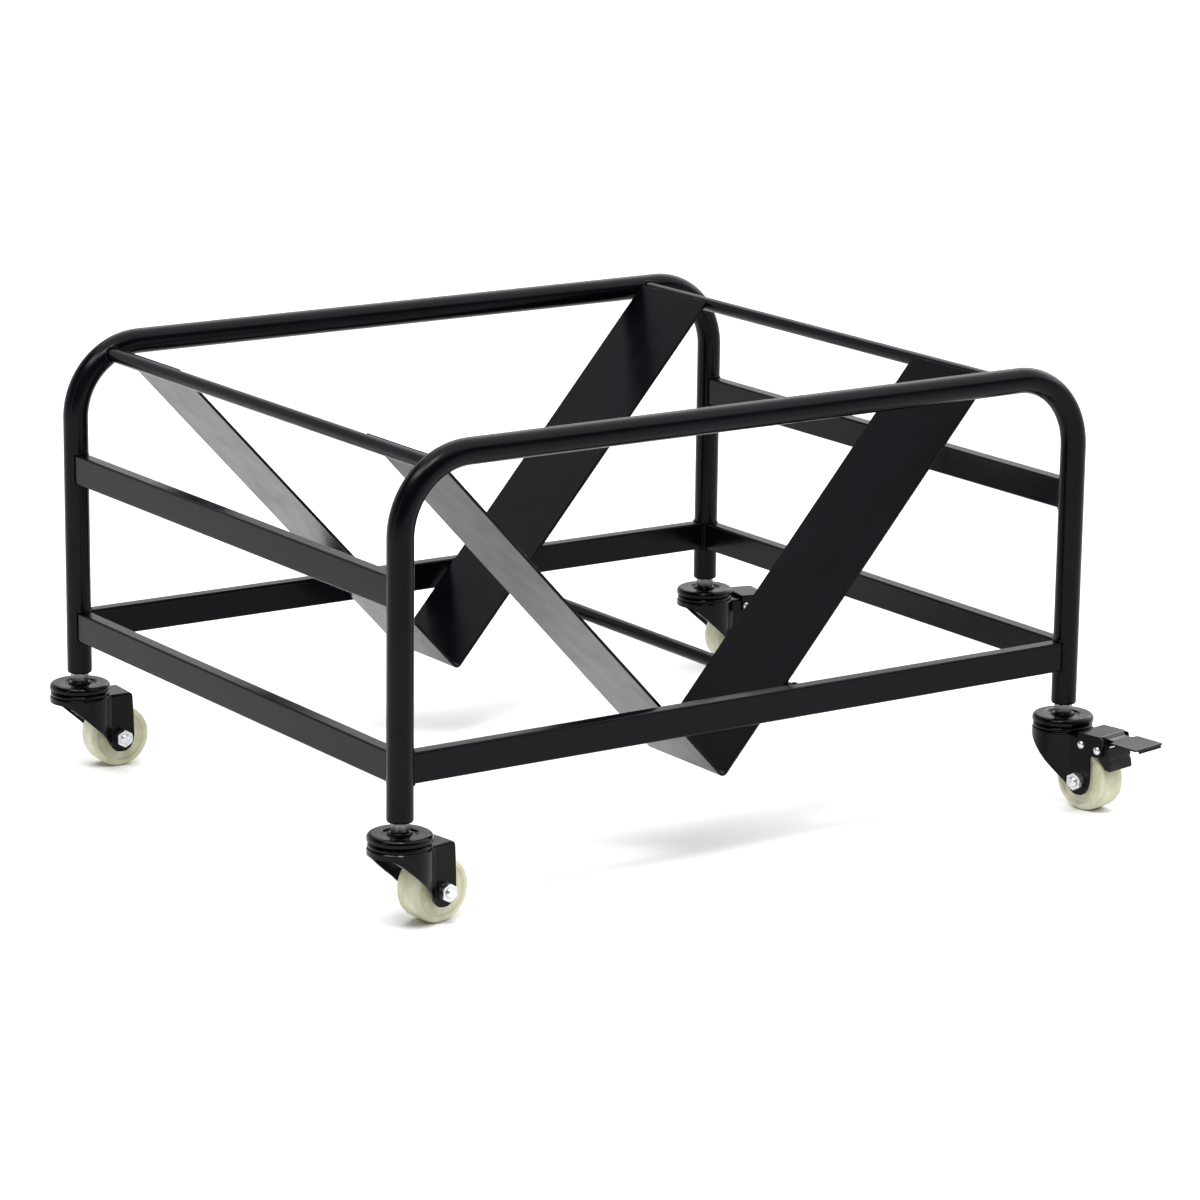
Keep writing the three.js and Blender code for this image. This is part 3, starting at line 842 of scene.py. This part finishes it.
def block():
    """Brake block: face curved like the tread, ribs across its back."""
    face = arc(AXLE[0] / MM, WHEEL_R / MM, 36.25, 62, 28, 10)
    back = [(76.5, 47.6), (77, 50), (75.4, 57), (74.4, 57.2), (74.2, 60), (75.1, 60.6)]
    back += [(72.6, 71.0), (56.2, 71.0)]
    outline = [(x * MM, z * MM) for x, z in face + back]
    return prism(outline, -BLOCK_HALF, BLOCK_HALF)


def leaf_spring():
    """Flat spring between the pedal's base and the block."""
    tongue = [(53.4, 79.0, 11), (55.2, 76.2, 11), (57.0, 73.6, 11)]
    foot = [(58.4, 72.5, 14), (60.2, 72.3, 14), (66, 72.3, 14), (73.2, 72.3, 14)]
    return strip(tongue + foot, 1.1)


def domed_pin(place):
    """Pin through both flanges with a domed head on each end."""
    x, z = place
    seat, head, rise, shank = FLANGE_OUTER + GAP, 4.2 * MM, 2.4 * MM, 2.4 * MM
    turns = [math.radians(angle) for angle in range(0, 91, 15)]
    cap = [(head * math.cos(turn), seat + rise * math.sin(turn)) for turn in turns]
    outline = cap[::-1] + [(shank, seat), (shank, -seat)] + [(radius, -y) for radius, y in cap]
    return turned(outline, 32, "y", (x, 0, z))


def kingpin():
    """Stem with a riveted end under the crown."""
    outline = [
        (0, 68.5),
        (6.4, 68.5),
        (8.4, 69.6),
        (9.0, 71.4),
        (9.0, 75.2),
        (5.0, 75.2),
        (5.0, 101.0),
        (0, 101.0),
    ]
    return turned([(r * MM, z * MM) for r, z in outline], 40)


def build_castor(name):
    """All pieces of one castor, turned to its heading, with a brake where the frame has one."""
    leg = LEGS[name]
    axis = JOINTS[f"roll_{name}"]["axis"]
    heading = math.atan2(-axis[0], axis[1])
    still = Matrix.Translation((leg.x, leg.y, 0))
    turn = still @ Matrix.Rotation(heading, 4, "Z")

    def add(label, bm, material, body, *nodes, bevel=0.0, smooth=35, place=turn):
        piece = finish_mesh(f"{label}_{name}", bm, material, smooth=smooth, bevel=bevel, place=place)
        return settle(piece, body, *nodes)

    fork = f"fork_{name}"
    add("race_top", upper_race(), "enamel", "frame", f"upper_race_{name}", place=still)
    # The stem's pin and nut take the darker zinc copy: painted shade under the leg.
    add("pin_king", kingpin(), "shaded_zinc", "frame", f"stem_{name}", place=still)
    nut = hex_piece(92.3 * MM, 101.2 * MM, "z", (0, 0, 0))
    add("nut_stem", nut, "shaded_zinc", "frame", f"stem_nut_{name}", bevel=0.25 * MM, place=still)
    add("race_low", lower_race(), "enamel", fork, f"lower_race_{name}")
    add("yoke", fork_body(), "enamel", fork, fork, bevel=0.5 * MM, smooth=28)
    add("roller", wheel(), "nylon", f"wheel_{name}", f"wheel_{name}", smooth=45)

    seat = CHEEK + GAP
    head = hex_piece(seat, seat + HEAD_DEPTH, "y", AXLE)
    add("bolt_axle", head, "zinc", fork, f"axle_bolt_{name}", bevel=0.2 * MM)
    end = thread(AXLE_R, -CHEEK - 11.2 * MM, -CHEEK - 7.5 * MM, 1.5 * MM, "y", AXLE)
    add("bolt_axle_end", end, "zinc", fork, smooth=60)
    add("bolt_axle_shank", bore(AXLE_R, CHEEK - 0.4 * MM, "y", AXLE), "zinc", fork)
    nut = hex_piece(-seat - NUT_DEPTH, -seat, "y", AXLE)
    add("nut_axle", nut, "zinc", fork, f"axle_nut_{name}", bevel=0.2 * MM)

    if f"brake_{name}" in frame["bodies"]:
        brake = f"brake_{name}"
        add("pedal_plate", pedal_plate(), "enamel", brake, f"pedal_{name}", bevel=0.45 * MM)
        add("pedal_lip", pedal_lip(), "enamel", brake, bevel=0.3 * MM)
        for side, word in SIDES:
            add(f"pedal_flange_{word}", pedal_flange(side), "enamel", brake, bevel=0.45 * MM)
        add("brake_shoe", block(), "plastic", brake, f"brake_block_{name}", bevel=0.7 * MM)
        add("leaf", leaf_spring(), "zinc", brake, f"brake_spring_{name}", bevel=0.2 * MM)
        add("rivet_pivot", domed_pin(PIVOT), "zinc", fork, f"pivot_pin_{name}", smooth=50)
        add("rivet_block", domed_pin(BLOCK_PIN), "zinc", brake, f"block_pin_{name}", smooth=50)


for corner in CORNERS:
    build_castor(corner)

# ------------------------------------------------------------------ floor, light and camera

FRAME_CENTRE = Vector(((LEFT + RIGHT) / 2, (NEAR.y + FAR.y) / 2, LEG_END))

AZIMUTH, ELEVATION, ROLL = math.radians(-34.30), math.radians(13.96), math.radians(0.70)
FOCAL_LENGTH = 134.97
EYE = FRAME_CENTRE + Vector((-2.4582, -3.6596, 1.1871))


def floor():
    """Plain pale studio floor."""
    bm = bmesh.new()
    bmesh.ops.create_grid(bm, x_segments=4, y_segments=4, size=30)
    mesh = bpy.data.meshes.new("studio_floor")
    bm.to_mesh(mesh)
    bm.free()
    piece = new_object("studio_floor", mesh)
    material, nodes, links, shader = new_material("studio_white", Roughness=0.9, IOR=1.3)
    clouds(nodes, links, shader, noise(nodes, links, 1.5, 2), [(0.3, (0.9,) * 3), (0.7, (0.92,) * 3)])
    mesh.materials.append(material)


def hang(name, data, direction, place=(0, 0, 0)):
    """Puts a light in the scene, shining this way."""
    lamp = new_object(name, data)
    lamp.location = place
    lamp.rotation_mode = "QUATERNION"
    lamp.rotation_quaternion = direction.to_track_quat("-Z", "Y")


def area_light(name, offset, size, power):
    """A panel at this offset from the frame's centre, turned towards it."""
    data = bpy.data.lights.new(name, "AREA")
    data.shape = "RECTANGLE"
    data.size, data.size_y = size
    data.energy = power
    place = FRAME_CENTRE + Vector(offset)
    hang(name, data, FRAME_CENTRE - place, place)


def wide_sun(name, direction, strength, angle):
    """A sun with a wide disc, for even light on the floor with soft, faint shadows."""
    data = bpy.data.lights.new(name, "SUN")
    data.energy = strength
    data.angle = math.radians(angle)
    data.specular_factor = 0.0
    hang(name, data, Vector(direction))


def studio_world():
    """White surroundings beyond the object, nearly dark overhead and on the camera's side."""
    world = bpy.data.worlds.new("studio")
    bpy.context.scene.world = world
    world.use_nodes = True
    nodes, links = world.node_tree.nodes, world.node_tree.links
    shade = nodes["Background"]
    place = nodes.new("ShaderNodeTexCoord")
    behind = nodes.new("ShaderNodeVectorMath")
    behind.operation = "DOT_PRODUCT"
    behind.inputs[1].default_value = (0.8 * math.sin(AZIMUTH), -0.8 * math.cos(AZIMUTH), 1.6)
    links.new(place.outputs["Generated"], behind.inputs[0])
    spread = nodes.new("ShaderNodeMapRange")
    spread.inputs["From Min"].default_value = -1
    spread.inputs["From Max"].default_value = 1
    links.new(behind.outputs["Value"], spread.inputs["Value"])
    stops = [(0.0, (1, 1, 1)), (0.38, (1, 1, 1)), (0.55, (0.9, 0.9, 0.94))]
    stops += [(0.72, (0.8, 0.8, 0.85)), (0.85, (0.03, 0.03, 0.03))]
    links.new(ramp(nodes, links, spread.outputs["Result"], stops), shade.inputs["Color"])
    shade.inputs["Strength"].default_value = 1.1


def camera():
    """The photograph's viewpoint."""
    away, height = math.cos(ELEVATION), math.sin(ELEVATION)
    back = Vector((math.sin(AZIMUTH) * away, -math.cos(AZIMUTH) * away, height))
    right = Vector((math.cos(AZIMUTH), math.sin(AZIMUTH), 0))
    up = back.cross(right)
    rolled_right = right * math.cos(ROLL) + up * math.sin(ROLL)
    rolled_up = up * math.cos(ROLL) - right * math.sin(ROLL)
    data = bpy.data.cameras.new("camera")
    data.lens = FOCAL_LENGTH
    data.sensor_width = 36
    data.clip_start, data.clip_end = 0.1, 100
    eye = new_object("camera", data)
    place = Matrix((rolled_right, rolled_up, back)).transposed().to_4x4()
    place.translation = EYE
    eye.matrix_world = place
    bpy.context.scene.camera = eye


floor()
camera()
studio_world()
wide_sun("fill_sun", (-0.5, -0.1, -1), 4.5, 100)
area_light("key_left", (-3.2, -0.4, 0.9), (0.3, 2.4), 6)
area_light("overhead", (-1.6, -0.45, 2.4), (1.5, 0.5), 40)
area_light("highlight", (-0.8, -1.1, 2.4), (0.5, 0.5), 26)

scene = bpy.context.scene
scene.view_settings.view_transform = "Standard"
scene.view_settings.look = "None"
scene.view_settings.exposure = 0.0
